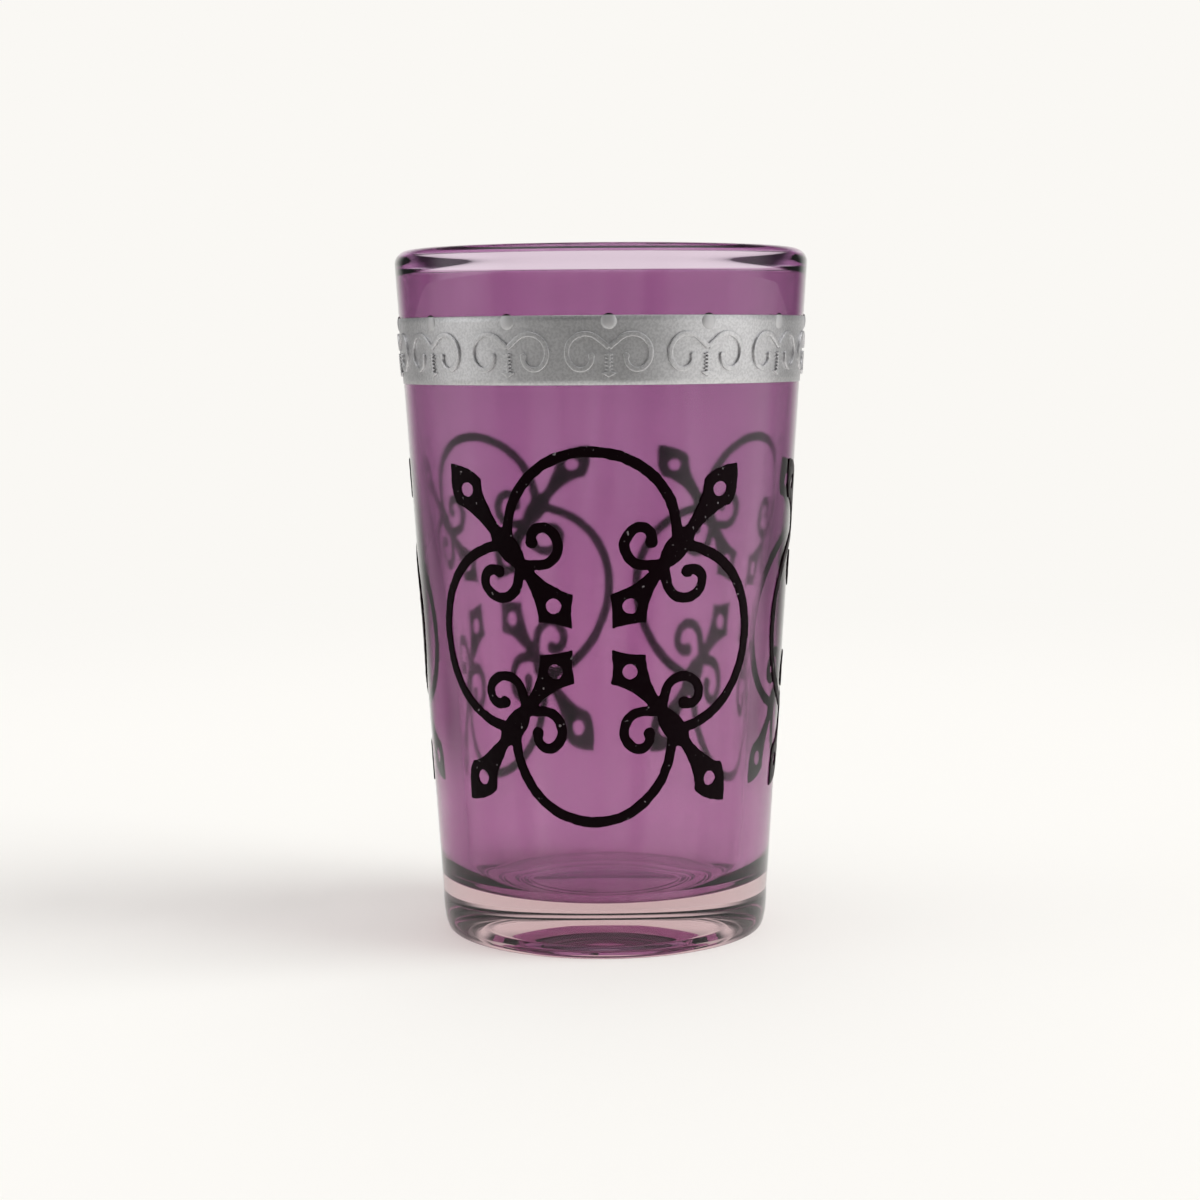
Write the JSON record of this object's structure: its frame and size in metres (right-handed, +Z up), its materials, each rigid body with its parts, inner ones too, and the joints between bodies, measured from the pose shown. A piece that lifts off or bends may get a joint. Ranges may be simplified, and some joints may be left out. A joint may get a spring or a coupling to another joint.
{
  "type": "tea glass",
  "caption": "Tapered tea glass without a handle: mauve-stained wall, thick clear base, fire-polished lip, raised silver band and raised black enamel ornaments.",
  "frame": {"origin": "centre of the foot, on the plane the glass stands on", "axes": "+Z up along the axis of the glass; -Y towards the front, which the picture shows"},
  "size_m": [0.0542, 0.0542, 0.09],
  "materials": {
    "tinted_glass": "clear glass with a mauve stain on its inner wall",
    "silver": "matte silver lustre",
    "silver_relief": "matte silver over raised relief",
    "dark_silver": "raised black enamel partly under silver",
    "black_enamel": "glossy raised black enamel"
  },
  "bodies": {
    "root": {"glass_body": "tinted_glass", "silver_band": "silver", "band_scrolls": "silver_relief", "band_stems": "silver_relief", "band_dots": "dark_silver", "ornament_front": "black_enamel", "ornament_right": "black_enamel", "ornament_left": "black_enamel"}
  },
  "joints": []
}
